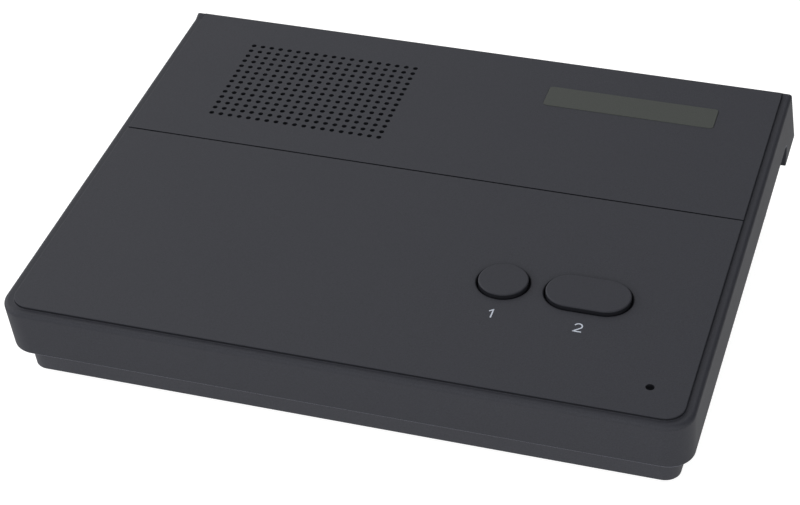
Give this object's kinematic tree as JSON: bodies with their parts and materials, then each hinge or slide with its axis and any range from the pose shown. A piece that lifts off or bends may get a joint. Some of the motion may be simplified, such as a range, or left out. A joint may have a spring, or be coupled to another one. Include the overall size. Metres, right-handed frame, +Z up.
{
  "type": "counter intercom console",
  "caption": "Wedge-shaped desk console of a counter intercom: loudspeaker grille, bare badge, push buttons and microphone hole on top, with sockets and volume wheels under a rear hood.",
  "frame": {"origin": "on the table under the middle of the case's plan outline", "axes": "+X to the user's right, +Y away from the user towards the rear hood, +Z up"},
  "size_m": [0.1632, 0.1478, 0.0365],
  "materials": {
    "case_plastic": "fine matt texture",
    "base_plastic": "fine matt texture",
    "badge_plastic": "satin",
    "foot_rubber": "matt",
    "key_plastic": "fine matt texture",
    "plunger_plastic": "satin",
    "spring_steel": "drawn wire",
    "switch_plastic": "satin",
    "board_laminate": "solder mask",
    "grille_cloth": "woven",
    "speaker_sheet": "zinc plated",
    "foam": "open foam",
    "surround_rubber": "matt",
    "cone_paper": "pressed paper",
    "copper": "enamelled wire",
    "cap_film": "gloss",
    "plate_steel": "zinc plated",
    "ferrite": "ground ceramic",
    "boot_rubber": "matt",
    "capsule_metal": "drawn",
    "chip_plastic": "moulded",
    "capacitor_can": "sleeved",
    "header_plastic": "satin",
    "socket_plastic": "satin",
    "plated_metal": "bright",
    "contact_metal": "gold plated",
    "control_metal": "stamped",
    "wheel_plastic": "satin",
    "screw_steel": "zinc plated",
    "lead_sleeve": "satin",
    "phenolic_board": "punched sheet"
  },
  "bodies": {
    "console": {"top_housing": "case_plastic", "bottom_cover": "base_plastic", "name_badge": "badge_plastic", "rubber_feet": "foot_rubber", "privacy_spring": "spring_steel", "privacy_switch": "switch_plastic", "call_spring": "spring_steel", "call_switch": "switch_plastic", "button_board": "board_laminate", "grille_cloth": "grille_cloth", "speaker_basket": "speaker_sheet", "speaker_gasket": "foam", "speaker_surround": "surround_rubber", "speaker_cone": "cone_paper", "voice_coil": "copper", "speaker_dust_cap": "cap_film", "speaker_top_plate": "plate_steel", "speaker_magnet": "ferrite", "speaker_yoke": "plate_steel", "microphone_boot": "boot_rubber", "microphone_capsule": "capsule_metal", "main_board": "board_laminate", "board_chips": "chip_plastic", "board_capacitors": "capacitor_can", "wire_headers": "header_plastic", "power_socket": "socket_plastic", "power_socket_pin": "plated_metal", "power_socket_nut": "plated_metal", "line_socket": "socket_plastic", "line_contacts": "contact_metal", "audio_socket": "socket_plastic", "inside_volume_control": "control_metal", "outside_volume_control": "control_metal", "case_screws": "screw_steel", "speaker_screws": "screw_steel", "button_board_screws": "screw_steel", "main_board_screws": "screw_steel", "speaker_terminals": "phenolic_board", "solder_tags": "plated_metal", "speaker_lead": "lead_sleeve", "microphone_lead": "lead_sleeve", "button_lead": "lead_sleeve", "power_lead": "lead_sleeve"},
    "privacy_key": {"privacy_button": "key_plastic", "privacy_plunger": "plunger_plastic"},
    "call_key": {"call_button": "key_plastic", "call_plunger": "plunger_plastic"},
    "inside_wheel": {"inside_volume_wheel": "wheel_plastic"},
    "outside_wheel": {"outside_volume_wheel": "wheel_plastic"}
  },
  "joints": [
    {"name": "call_press", "type": "slide", "parent": "console", "child": "call_key", "axis": [0, -0.1023, 0.9948], "range_m": [-0.0008, 0], "stiffness_N_per_m": 400, "springref_m": 0.001, "deforming": ["call_spring"]},
    {"name": "privacy_press", "type": "slide", "parent": "console", "child": "privacy_key", "axis": [0, -0.1023, 0.9948], "range_m": [-0.0008, 0], "stiffness_N_per_m": 400, "springref_m": 0.001, "deforming": ["privacy_spring"]},
    {"name": "inside_volume", "type": "hinge", "parent": "console", "child": "inside_wheel", "pos_m": [-0.024, 0.05008, 0.0115], "axis": [0, 0, 1], "range_deg": [-135, 135]},
    {"name": "outside_volume", "type": "hinge", "parent": "console", "child": "outside_wheel", "pos_m": [-0.05, 0.05008, 0.0115], "axis": [0, 0, 1], "range_deg": [-135, 135]}
  ]
}
